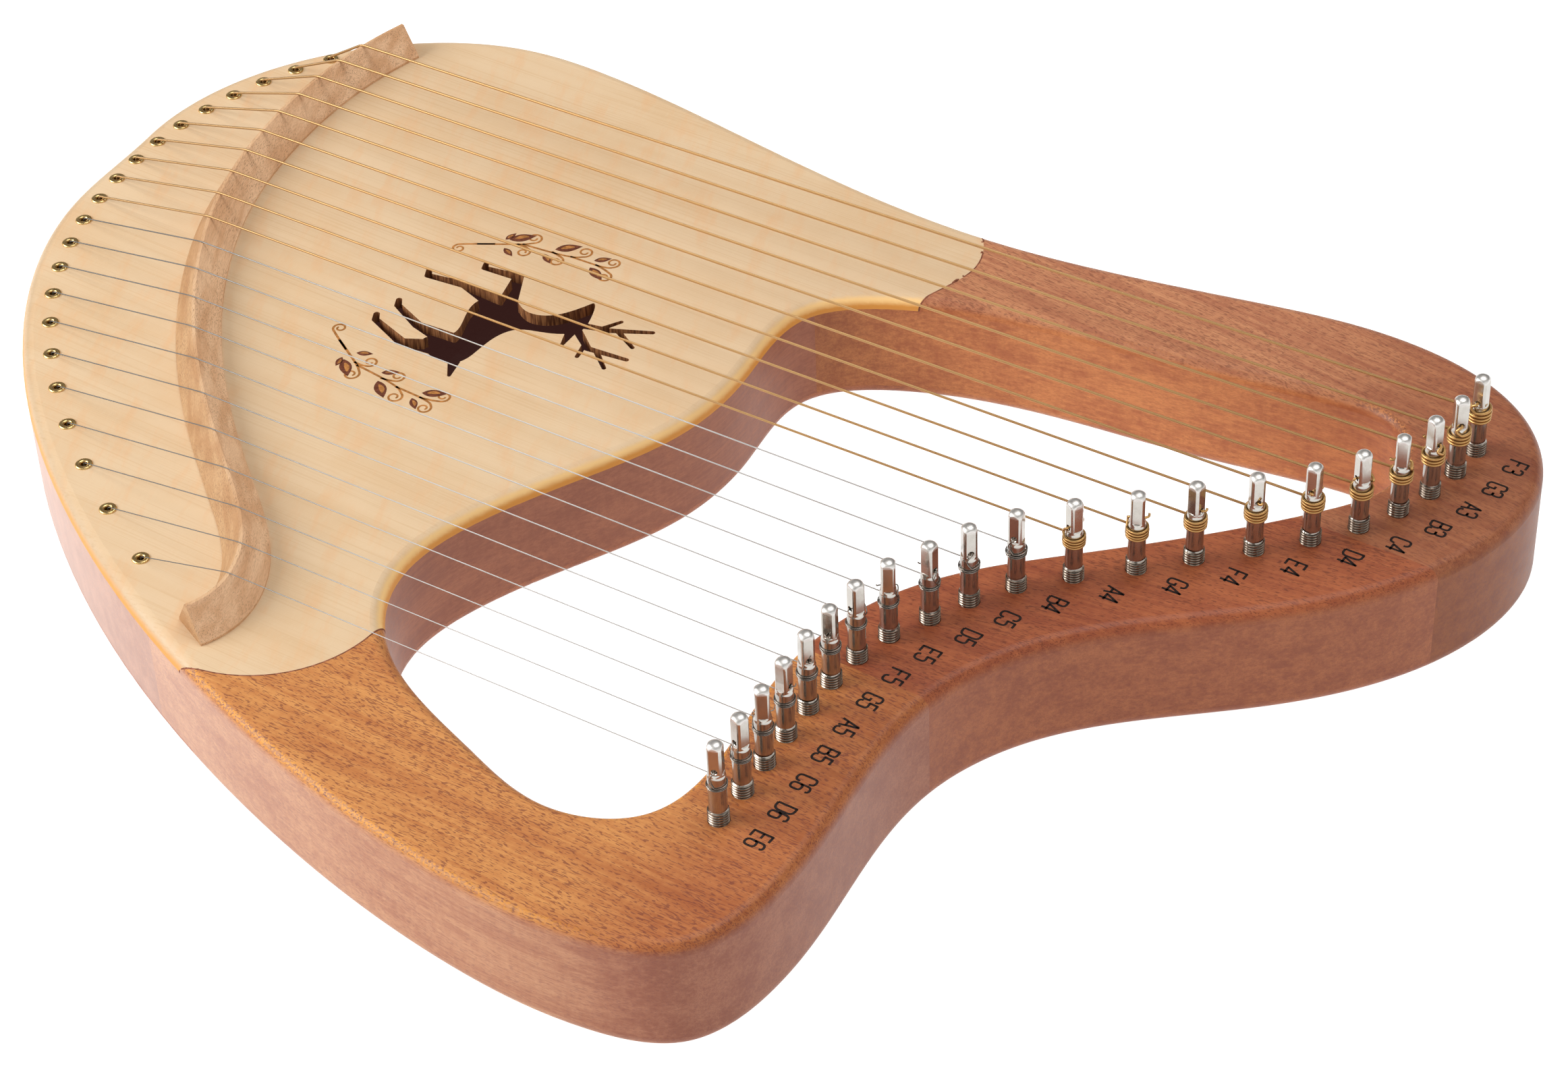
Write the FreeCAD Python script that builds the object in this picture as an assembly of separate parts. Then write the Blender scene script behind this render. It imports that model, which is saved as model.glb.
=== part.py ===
"""A 21-string lyre harp lying on its back, as separate pieces.

Millimetres. Z is up, out of the soundboard. Y runs along the strings, from the string holes in the
tail to the tuning pins, and X runs across them, from the bass side to the treble side. The origin
is at the middle of the outline, on the plane that the back rests on.
"""
import FreeCAD
import Part
import math
import os

V = FreeCAD.Vector
UP = V(0, 0, 1)

# ---- the body ---------------------------------------------------------------------------------
THICK = 38.0          # depth of the body, back to front
EDGE_R = 4.0          # round on every long edge
BOARD_T = 4.0         # spruce soundboard, let in flush with the front
BACK_T = 4.0          # back plate, let in flush with the back
FAR = 400.0           # beyond the outline, for cutting shapes

# Points on the outer outline, from the middle of the tail round by the bass side.
OUTER = [(-56, -236), (-124.3, -217), (-164.5, -157), (-166, -125), (-159.5, -70), (-150.3, 35),
         (-164.8, 122.5), (-170.6, 160.5), (-154.5, 218.5), (-126.5, 236), (-94.5, 235),
         (-37.3, 198), (13.8, 145.8), (44, 133.6), (84, 134.2), (130, 138), (159.3, 128.8),
         (170.5, 100.4), (170.8, 60), (150.2, -33.4), (96, -144), (58, -189), (-16.5, -232)]
# Points on the string opening, from the treble end of the soundboard round by the bass arm.
INNER = [(91, -21), (70.5, -26.8), (44, -21.6), (15, -8.7), (-16.5, 4.6), (-50, 7), (-88, 6), (-108, 31.5),
         (-125, 118), (-132, 160), (-130, 187), (-108, 197.5), (-84, 185.5), (-30, 134),
         (-4.3, 109.3), (25.5, 93.8), (60, 90.8), (97.5, 95.8), (122.7, 90.8), (133.3, 70),
         (126.4, 36.5)]
# Points on the wall of the sound box, inside.
CAVITY = [(-122, 18), (-137, -20), (-143, -75), (-149, -125), (-146, -157), (-131, -184),
          (-106, -202), (-76, -210), (-46, -211), (-12, -205), (20, -189), (48, -165),
          (78, -130), (106, -82), (115, -52), (98, -36), (72, -42), (42, -36), (8, -22),
          (-20, -13), (-54, -7), (-90, -8), (-110, 6)]

# Where the soundboard and the back plate stop against the arms.
TREBLE_JOINT = [(142.5, -56.5), (131, -26.5), (98, -15.5)]
BASS_JOINT = [(-106, 33), (-120, 37), (-133, 39.5), (-143, 36.5), (-152, 29)]

# Glue joints between the solid wood pieces of the frame.
YOKE_TREBLE_X = 46.0
YOKE_BASS_X = -76.0
CROSSBAR_BASS_X = -90.0
CROSSBAR_TREBLE_X = 100.0
TAIL_TREBLE_Y = -72.0
TAIL_BASS_Y = -140.0

# ---- strings, pins and bridge -----------------------------------------------------------------
NOTES = ["F3", "G3", "A3", "B3", "C4", "D4", "E4", "F4", "G4", "A4", "B4",
         "C5", "D5", "E5", "F5", "G5", "A5", "B5", "C6", "D6", "E6"]
WOUND = 10                       # the lowest strings are wound
WOUND_D = (0.90, 0.70)           # first and last wound string
PLAIN_D = (0.40, 0.28)           # first and last plain string

PIN_X0, PIN_STEP = -130.5, 12.3
PIN_LINE = [(-130.5, 213), (-112, 211.5), (-92, 205.5), (-68, 189.8), (-44, 165.8), (-32, 154.1),
            (-20, 141), (5, 121), (17, 115.7), (29, 110), (54, 106.5), (85, 108.3), (115.5, 110.5)]
HOLE_X0, HOLE_STEP, HOLE_GROWTH = -122.9, 11.35, 0.0235
HOLE_LINE = [(-123, -210.5), (-88.5, -225), (-54, -229), (-19.5, -224), (16, -210),
             (51.5, -182.3), (88, -137.7), (113.5, -93)]

PIN_OUT = 28.0        # pin above the wood
PIN_IN = 19.0         # pin in the wood
PIN_HOLE_DEEP = 20.0
SHAFT_R = 2.6
THREAD_R = 3.1
THREAD_ROOT_R = 2.75
THREAD_OUT = 4.5      # thread that stands above the wood
THREAD_PITCH = 0.9
FLAT_FROM = 17.0      # the squared head starts here, above the wood
FLAT_HALF = 2.05      # half the size across the flats
HEAD_CORNER_R = 2.45
EYE_R = 0.8           # cross hole for the string
EYE_OUT = 19.0        # height of the cross hole above the wood
PIN_TURN = 37.0       # each pin stands turned by this much from the one before it
FIT = 0.05            # radial clearance of pin in wood, and of string turns round the pin

COIL_OUT = 12.8       # height above the wood at which a string reaches its pin
TURNS = (4.0, 3.0)    # turns on the pin: wound, plain
EYELET_BEND_R = 1.2   # bend of a string at its eyelet
RIDGE_BEND_R = 2.0    # bend of a string over the bridge
RIDGE_FIT = 0.06      # clearance of the bend's outer corner over the ridge

BRIDGE_LINE = [(-141, -192.5), (-110, -197), (-75, -194.5), (-40, -185.5), (-5, -168),
               (30, -141.5), (60, -110.5), (85, -80), (104, -62.5), (117, -58), (131, -60)]
BRIDGE_H = 10.0       # ridge above the soundboard
BRIDGE_PIN_SIDE = 7.5
BRIDGE_TAIL_SIDE = 6.5
BRIDGE_LIP = 0.8      # upright foot of the bridge's two slopes
BRIDGE_FLAT = 0.5     # half width of the ridge
BRIDGE_STATIONS = 15

# ---- string anchors ---------------------------------------------------------------------------
STRING_HOLE_R = 1.2
ANCHOR_R = 3.2        # recess in the back for the ball end
ANCHOR_DEEP = 9.0
BALL_R = 2.2
BALL_LONG = 3.4
BALL_BORE_R = 0.9
EYELET_BARREL_R = 1.7
EYELET_BORE_R = 1.05
EYELET_FLANGE_R = 2.7
EYELET_FLANGE_T = 0.5
EYELET_DEEP = 6.0

# ---- inside the sound box ---------------------------------------------------------------------
PLATE_HALF = 9.0      # bridge plate, half width
PLATE_T = 3.0
PLATE_ENDS = (-84.0, 92.0)
BRACE_W = 7.0
BRACE_H = 9.0
BRACES = {"bass_brace": (-72, -176, -22), "treble_brace": (20, -128, -44)}   # x, from y, to y
BACK_BRACE = (-92, -128, 88)                                                 # y, from x, to x
BACK_BRACE_W = 12.0
BACK_BRACE_H = 6.0

# ---- sound hole: a standing stag, looking to the bass side --------------------------------------
STAG_AT = (-29.0, -67.0)
STAG_BODY = [(-26, 14), (-19, 10.5), (-14, 6), (-12.5, -2), (-16, -10), (-10, -17), (1, -15.5),
             (10, -14.5), (15, -20), (21.5, -13), (20, -4), (8, -2), (-3, 2), (-6.5, 11), (-12, 19),
             (-19, 18.5)]
# Each limb is a run of (x, y, half width).
STAG_LIMBS = [
    [(-11, -12, 3.6), (-13.5, -26, 1.7), (-11.5, -39, 1.2), (-14, -40.5, 1.0)],
    [(-13, -9, 3.2), (-25.5, -14, 1.8), (-24, -26, 1.1), (-26, -27, 0.9)],
    [(16.5, -12, 4.4), (20.5, -25, 1.8), (15.5, -39, 1.2), (13, -40.5, 1.0)],
    [(12, -14, 3.6), (11, -26, 1.7), (6, -37.5, 1.2), (3.5, -39, 1.0)],
    [(20, -5, 2.0), (26.5, -2, 0.6)],
    [(-11, 17, 1.8), (-4, 18.5, 0.6)],
    [(-15, 17, 1.5), (-17.5, 27, 1.2), (-23.5, 39, 0.8)],
    [(-16.6, 24, 1.0), (-23, 27.5, 0.7)],
    [(-18.5, 29.5, 1.0), (-14, 38, 0.7)],
    [(-13, 17.5, 1.5), (-6.5, 26.5, 1.2), (-8, 40, 0.8)],
    [(-8, 24.5, 1.0), (-1.5, 26, 0.7)],
    [(-6.8, 29.5, 1.0), (-1, 36.5, 0.7)],
]


# ---- helpers ----------------------------------------------------------------------------------
def smooth(points, closed):
    """A spline through (x, y) points on the plane Z = 0."""
    curve = Part.BSplineCurve()
    curve.interpolate([V(x, y, 0) for x, y in points], PeriodicFlag=closed)
    return curve


def prism(edges, low, high):
    """The space over a closed run of edges in plan, between two heights."""
    face = Part.Face(Part.Wire(edges))
    face.translate(V(0, 0, low))
    return face.extrude(V(0, 0, high - low))


def smooth_prism(points, low, high):
    return prism([smooth(points, True).toShape()], low, high)


def polygon_prism(points, low, high):
    corners = [V(x, y, 0) for x, y in points]
    return prism(Part.makePolygon(corners + corners[:1]).Edges, low, high)


def cylinder(radius, low, high, x=0.0, y=0.0):
    return Part.makeCylinder(radius, high - low, V(x, y, low), UP)


def turned(profile, x=0.0, y=0.0):
    """A solid of revolution about Z from (radius, height) points, first and last on the axis."""
    corners = [V(r, 0, z) for r, z in profile]
    solid = Part.Face(Part.makePolygon(corners + corners[:1])).revolve(V(), UP, 360)
    solid.translate(V(x, y, 0))
    return solid


def height_of(curve, x):
    """The y at which a curve that always runs towards +X reaches x."""
    low, high = curve.FirstParameter, curve.LastParameter
    for _ in range(50):
        middle = (low + high) / 2
        if curve.value(middle).x < x:
            low = middle
        else:
            high = middle
    return curve.value(low).y


def save(shape, name):
    assert shape.isValid(), name
    assert all(solid.Volume > 0 for solid in shape.Solids), name
    shape.exportStep(f"parts/{name}.step")


# ---- layout of the strings --------------------------------------------------------------------
def share(pair, index, count):
    """A value that goes evenly from the first of a pair to the second."""
    return pair[0] + (pair[1] - pair[0]) * index / (count - 1)


def string_diameter(index):
    if index < WOUND:
        return share(WOUND_D, index, WOUND)
    return share(PLAIN_D, index - WOUND, len(NOTES) - WOUND)


def pin_centres():
    line = smooth(PIN_LINE, False)
    xs = [PIN_X0 + PIN_STEP * i for i in range(len(NOTES))]
    return [V(x, height_of(line, x), 0) for x in xs]


def hole_centres():
    line = smooth(HOLE_LINE, False)
    xs = [HOLE_X0 + HOLE_STEP * i + HOLE_GROWTH * i * i for i in range(len(NOTES))]
    return [V(x, height_of(line, x), 0) for x in xs]


# ---- the wooden body --------------------------------------------------------------------------
def full_body():
    """The whole outline with its opening and its rounded edges, before it is divided."""
    body = smooth_prism(OUTER, 0, THICK).cut(smooth_prism(INNER, 0, THICK))
    rims = [e for e in body.Edges if e.BoundBox.ZLength < 0.01]
    return body.makeFillet(EDGE_R, rims)


def box_region(low, high):
    """The part of the plan that the soundboard covers, between two heights."""
    (ax, ay), (bx, by), (cx, cy) = TREBLE_JOINT
    treble = Part.Arc(V(ax, ay, 0), V(bx, by, 0), V(cx, cy, 0)).toShape()
    bass = smooth(BASS_JOINT, False).toShape()
    across = [(cx, cy), (60, 20), (-60, 50), BASS_JOINT[0]]
    around = [BASS_JOINT[-1], (-FAR, BASS_JOINT[-1][1]), (-FAR, -FAR), (FAR, -FAR), (FAR, ay), (ax, ay)]
    runs = [Part.makePolygon([V(x, y, 0) for x, y in run]).Edges for run in (across, around)]
    return prism([treble] + runs[0] + [bass] + runs[1], low, high)


def stag():
    """The sound hole's shape, all through the soundboard."""
    low, high = THICK - BOARD_T - 1, THICK + 1
    shape = smooth_prism(STAG_BODY, low, high)
    pieces = []
    for limb in STAG_LIMBS:
        for (ax, ay, aw), (bx, by, bw) in zip(limb, limb[1:]):
            along = V(bx - ax, by - ay, 0).normalize()
            side = V(-along.y, along.x, 0)
            a, b = V(ax, ay, 0), V(bx, by, 0)
            corners = [a + side * aw, b + side * bw, b - side * bw, a - side * aw]
            pieces.append(polygon_prism([(c.x, c.y) for c in corners], low, high))
            pieces.append(cylinder(bw, low, high, bx, by))
    shape = shape.fuse(pieces).removeSplitter()
    shape.translate(V(*STAG_AT, 0))
    return shape


def string_holes(holes):
    cuts = []
    for at in holes:
        cuts.append(cylinder(STRING_HOLE_R, -1, THICK + 1, at.x, at.y))
        cuts.append(cylinder(ANCHOR_R, -1, ANCHOR_DEEP, at.x, at.y))
        cuts.append(cylinder(EYELET_BARREL_R, THICK - EYELET_DEEP, THICK + 1, at.x, at.y))
    return cuts


def make_body(pins, holes):
    body = full_body()
    front = box_region(THICK - BOARD_T, THICK + 1)
    back = box_region(-1, BACK_T)
    cavity = smooth_prism(CAVITY, BACK_T, THICK - BOARD_T)
    drilled = string_holes(holes)

    save(body.common(front).cut([stag()] + drilled), "soundboard")
    save(body.common(back).cut(drilled), "back_plate")

    pin_holes = [cylinder(THREAD_R + FIT, THICK - PIN_HOLE_DEEP, THICK + 1, at.x, at.y) for at in pins]
    frame = body.cut([front, back, cavity]).cut(drilled + pin_holes)
    lots = {
        "yoke": [(YOKE_BASS_X, 120), (YOKE_TREBLE_X, 60), (YOKE_TREBLE_X, FAR), (YOKE_BASS_X, FAR)],
        "bass_arm": [(-FAR, TAIL_BASS_Y), (CROSSBAR_BASS_X, TAIL_BASS_Y), (CROSSBAR_BASS_X, 120),
                     (YOKE_BASS_X, 120), (YOKE_BASS_X, FAR), (-FAR, FAR)],
        "treble_arm": [(CROSSBAR_TREBLE_X, TAIL_TREBLE_Y), (FAR, TAIL_TREBLE_Y), (FAR, FAR),
                       (YOKE_TREBLE_X, FAR), (YOKE_TREBLE_X, 60), (CROSSBAR_TREBLE_X, 60)],
        "crossbar": [(CROSSBAR_BASS_X, -60), (CROSSBAR_TREBLE_X, -60), (CROSSBAR_TREBLE_X, 60),
                     (CROSSBAR_BASS_X, 60)],
        "tail_block": [(-FAR, TAIL_BASS_Y), (-FAR, -FAR), (FAR, -FAR), (FAR, TAIL_TREBLE_Y),
                       (CROSSBAR_TREBLE_X, TAIL_TREBLE_Y), (0, TAIL_TREBLE_Y), (0, TAIL_BASS_Y)],
    }
    for name, lot in lots.items():
        save(frame.common(polygon_prism(lot, -1, THICK + 1)), name)


# ---- bridge and braces ------------------------------------------------------------------------
def across(curve, at):
    """A point on the bridge line and the direction across it, towards the pins."""
    along = curve.tangent(at)[0]
    return curve.value(at), V(-along.y, along.x, 0).normalize()


def make_bridge(line):
    foot = THICK
    profile = [(-BRIDGE_TAIL_SIDE, 0), (-BRIDGE_TAIL_SIDE, BRIDGE_LIP), (-BRIDGE_FLAT, BRIDGE_H),
               (BRIDGE_FLAT, BRIDGE_H), (BRIDGE_PIN_SIDE, BRIDGE_LIP), (BRIDGE_PIN_SIDE, 0)]
    first, last = line.FirstParameter, line.LastParameter
    sections = []
    for i in range(BRIDGE_STATIONS):
        point, side = across(line, first + (last - first) * i / (BRIDGE_STATIONS - 1))
        corners = [point + side * s + UP * (foot + h) for s, h in profile]
        sections.append(Part.makePolygon(corners + corners[:1]))
    save(Part.makeLoft(sections, True), "bridge")


def make_bridge_plate(line):
    """A hardwood plate glued under the soundboard, below the bridge."""
    top = THICK - BOARD_T
    count = 12
    first, last = line.FirstParameter, line.LastParameter
    steps = [first + (last - first) * i / 60 for i in range(61)]
    inside = [t for t in steps if PLATE_ENDS[0] <= line.value(t).x <= PLATE_ENDS[1]]
    picks = [inside[round(i * (len(inside) - 1) / (count - 1))] for i in range(count)]
    sides = []
    for sign in (1, -1):
        points = [across(line, t)[0] + across(line, t)[1] * (sign * PLATE_HALF) for t in picks]
        sides.append([(p.x, p.y) for p in points])
    edges = [smooth(run, False).toShape() for run in sides]
    ends = [Part.makeLine(V(*sides[0][i], 0), V(*sides[1][i], 0)) for i in (0, -1)]
    save(prism([edges[0], ends[1], edges[1], ends[0]], top - PLATE_T, top), "bridge_plate")


def beam(length, width, height):
    """A glued bar along X that lies on Z = 0, with its two ends pared down to a third."""
    low = height / 3
    slope = height * 2
    side = [V(0, 0, 0), V(length, 0, 0), V(length, 0, low), V(length - slope, 0, height),
            V(slope, 0, height), V(0, 0, low)]
    return Part.Face(Part.makePolygon(side + side[:1])).extrude(V(0, width, 0))


def make_braces():
    for name, (x, low, high) in BRACES.items():
        bar = beam(high - low, BRACE_W, BRACE_H)
        bar.rotate(V(), V(1, 0, 0), 180)
        bar.rotate(V(), UP, 90)
        bar.translate(V(x - BRACE_W / 2, low, THICK - BOARD_T))
        save(bar, name)
    y, low, high = BACK_BRACE
    bar = beam(high - low, BACK_BRACE_W, BACK_BRACE_H)
    bar.translate(V(low, y - BACK_BRACE_W / 2, BACK_T))
    save(bar, "back_brace")


# ---- eyelets and ball ends --------------------------------------------------------------------
def make_eyelets(holes):
    bore, barrel, flange = EYELET_BORE_R, EYELET_BARREL_R, EYELET_FLANGE_R
    profile = [(bore, THICK - EYELET_DEEP), (barrel, THICK - EYELET_DEEP), (barrel, THICK),
               (flange, THICK), (flange - 0.2, THICK + EYELET_FLANGE_T * 0.8),
               (barrel, THICK + EYELET_FLANGE_T), (bore, THICK + EYELET_FLANGE_T * 0.4)]
    save(Part.makeCompound([turned(profile, at.x, at.y) for at in holes]), "eyelets")


def make_ball_ends(holes):
    balls = []
    for at in holes:
        start = V(at.x - BALL_LONG / 2, at.y, ANCHOR_DEEP - BALL_R)
        ball = Part.makeCylinder(BALL_R, BALL_LONG, start, V(1, 0, 0))
        balls.append(ball.cut(Part.makeCylinder(BALL_BORE_R, BALL_LONG, start, V(1, 0, 0))))
    save(Part.makeCompound(balls), "ball_ends")


# ---- tuning pins ------------------------------------------------------------------------------
def pin_shape():
    """One pin on the Z axis, with Z = 0 at the face of the wood."""
    rings = []
    count = round(THREAD_OUT / THREAD_PITCH)
    for i in range(count):
        low = i * THREAD_PITCH
        rings += [(THREAD_R, low + THREAD_PITCH * 0.3), (THREAD_ROOT_R, low + THREAD_PITCH * 0.65),
                  (THREAD_R, low + THREAD_PITCH)]
    top = PIN_OUT
    profile = [(0, -PIN_IN), (THREAD_R - 0.8, -PIN_IN), (THREAD_R, -PIN_IN + 0.8)] + rings
    profile += [(SHAFT_R, THREAD_OUT + 0.5), (SHAFT_R, FLAT_FROM), (HEAD_CORNER_R, FLAT_FROM + 0.3),
                (HEAD_CORNER_R, top - 1.6), (HEAD_CORNER_R * 0.84, top - 0.7),
                (HEAD_CORNER_R * 0.5, top - 0.15), (0, top)]
    pin = turned(profile)
    wide = 4 * SHAFT_R
    flat = Part.makeBox(SHAFT_R, wide, PIN_OUT, V(FLAT_HALF, -wide / 2, FLAT_FROM))
    flats = []
    for quarter in range(4):
        cutter = flat.copy()
        cutter.rotate(V(), UP, 90 * quarter)
        flats.append(cutter)
    eye = Part.makeCylinder(EYE_R, wide, V(-wide / 2, 0, EYE_OUT), V(1, 0, 0))
    return pin.cut(flats + [eye])


def make_pins(pins):
    shape = pin_shape()
    for index, (note, at) in enumerate(zip(NOTES, pins)):
        pin = shape.copy()
        pin.rotate(V(), UP, PIN_TURN * index)
        pin.translate(at + UP * THICK)
        save(pin, f"tuning_pin_{note}")


# ---- strings ----------------------------------------------------------------------------------
def rounded_path(points, radii):
    """Straight runs through the points, with an arc of the given radius at each inner point."""
    edges = []
    start = points[0]
    for before, corner, after, radius in zip(points, points[1:], points[2:], radii):
        back = (before - corner).normalize()
        onward = (after - corner).normalize()
        half = back.getAngle(onward) / 2
        reach = radius / math.tan(half)
        middle = (back + onward).normalize() * (radius / math.sin(half) - radius)
        a, b = corner + back * reach, corner + onward * reach
        edges.append(Part.makeLine(start, a))
        edges.append(Part.Arc(a, corner + middle, b).toShape())
        start = b
    edges.append(Part.makeLine(start, points[-1]))
    return Part.Wire(edges)


def string_shape(index, hole, pin, ridge):
    """A string from its ball end, up through the eyelet, over the bridge and round its pin."""
    thick = string_diameter(index)
    along = (pin - hole).normalize()
    round_pin = SHAFT_R + FIT + thick / 2
    meet = pin + V(-along.y, along.x, 0) * round_pin
    run = meet - hole
    over = hole
    for _ in range(8):
        part = (height_of(ridge, over.x) - hole.y) / run.y
        over = hole + run * part
    points = [hole + UP * ANCHOR_DEEP,
              hole + UP * (THICK + EYELET_FLANGE_T + thick / 2 + 0.25),
              over + UP * (THICK + BRIDGE_H + RIDGE_FIT + thick / 2),
              meet + UP * (THICK + COIL_OUT)]
    path = rounded_path(points, (EYELET_BEND_R, RIDGE_BEND_R))
    ring = Part.Wire(Part.makeCircle(thick / 2, points[0], UP))
    wire = path.makePipeShell([ring], True, False)
    turns = TURNS[0] if index < WOUND else TURNS[1]
    low = THICK + COIL_OUT - thick / 2
    high = low + turns * thick
    coil = cylinder(round_pin + thick / 2, low, high, pin.x, pin.y)
    coil = coil.cut(cylinder(SHAFT_R + FIT, low - 1, high + 1, pin.x, pin.y))
    return wire.fuse(coil)


def make_strings(pins, holes, ridge):
    for index, note in enumerate(NOTES):
        save(string_shape(index, holes[index], pins[index], ridge), f"string_{note}")


def main():
    os.makedirs("parts", exist_ok=True)
    pins, holes = pin_centres(), hole_centres()
    ridge = smooth(BRIDGE_LINE, False)
    make_body(pins, holes)
    make_bridge(ridge)
    make_bridge_plate(ridge)
    make_braces()
    make_eyelets(holes)
    make_ball_ends(holes)
    make_pins(pins)
    make_strings(pins, holes, ridge)


main()
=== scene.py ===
"""The looks of a 21-string lyre harp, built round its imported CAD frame. Lengths are in metres.

The harp lies on its back: Z is up, out of the soundboard, Y runs along the strings from the tail to
the tuning pins, and X runs from the bass side to the treble side.
"""

import math

import bpy
from mathutils import Matrix, Vector
from mathutils.bvhtree import BVHTree


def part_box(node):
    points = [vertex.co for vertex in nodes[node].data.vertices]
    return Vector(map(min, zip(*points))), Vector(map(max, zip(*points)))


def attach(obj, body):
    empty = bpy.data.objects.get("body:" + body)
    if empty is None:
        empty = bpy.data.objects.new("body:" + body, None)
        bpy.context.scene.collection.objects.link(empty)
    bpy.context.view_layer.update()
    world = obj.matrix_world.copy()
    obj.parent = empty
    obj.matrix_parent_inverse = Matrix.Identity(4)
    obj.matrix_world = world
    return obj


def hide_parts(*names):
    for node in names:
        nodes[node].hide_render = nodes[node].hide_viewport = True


MM = 0.001
UP = Vector((0, 0, 1))

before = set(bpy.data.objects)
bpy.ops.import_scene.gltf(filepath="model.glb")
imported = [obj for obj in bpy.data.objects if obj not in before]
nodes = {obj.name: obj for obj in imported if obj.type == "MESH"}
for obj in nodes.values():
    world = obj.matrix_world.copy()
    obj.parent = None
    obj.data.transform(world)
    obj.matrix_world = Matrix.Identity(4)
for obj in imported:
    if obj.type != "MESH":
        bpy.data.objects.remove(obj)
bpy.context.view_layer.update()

# ---- what the frame gives ----
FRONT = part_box("soundboard")[1].z  # the plane of the wood's front face
PIN_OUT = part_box("tuning_pin_F3")[1].z - FRONT
PIN_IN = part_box("tuning_pin_F3")[0].z - FRONT
RIDGE_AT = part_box("bridge")[1].z
NOTES = sorted((name[len("string_"):] for name in nodes if name.startswith("string_")),
               key=lambda note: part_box(f"tuning_pin_{note}")[0].x)
WOUND = 10  # the lowest strings are wound
WOUND_D = (0.90 * MM, 0.70 * MM)  # first and last wound string
PLAIN_D = (0.40 * MM, 0.28 * MM)  # first and last plain string
THREAD_TOP = 4.6 * MM  # of a tuning pin, above the wood
THREAD_PITCH = 0.9 * MM
FLAT_FROM = 16.4 * MM  # where a tuning pin's squared head starts
EYELET_GAP = 2 * MM  # less than what lies between two eyelets along X


def share(pair, index, count):
    """A value that goes evenly from the first of a pair to the second."""
    return pair[0] + (pair[1] - pair[0]) * index / (count - 1)


def string_diameter(index):
    if index < WOUND:
        return share(WOUND_D, index, WOUND)
    return share(PLAIN_D, index - WOUND, len(NOTES) - WOUND)


def pin_centre(note):
    low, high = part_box(f"tuning_pin_{note}")
    return Vector(((low.x + high.x) / 2, (low.y + high.y) / 2, FRONT))


def eyelet_centres():
    """The eyelets stand apart along X, so a gap between their points starts the next one."""
    points = sorted((v.co.copy() for v in nodes["eyelets"].data.vertices), key=lambda p: p.x)
    groups = [[points[0]]]
    for before, point in zip(points, points[1:]):
        if point.x - before.x > EYELET_GAP:
            groups.append([])
        groups[-1].append(point)
    centres = []
    for group in groups:
        ys = [p.y for p in group]
        across = (group[0].x + group[-1].x) / 2
        centres.append(Vector((across, (min(ys) + max(ys)) / 2, FRONT)))
    return centres


def tree_of(name):
    """A ray-casting tree of a CAD node."""
    mesh = nodes[name].data
    corners = [v.co.copy() for v in mesh.vertices]
    return BVHTree.FromPolygons(corners, [tuple(p.vertices) for p in mesh.polygons])


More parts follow.
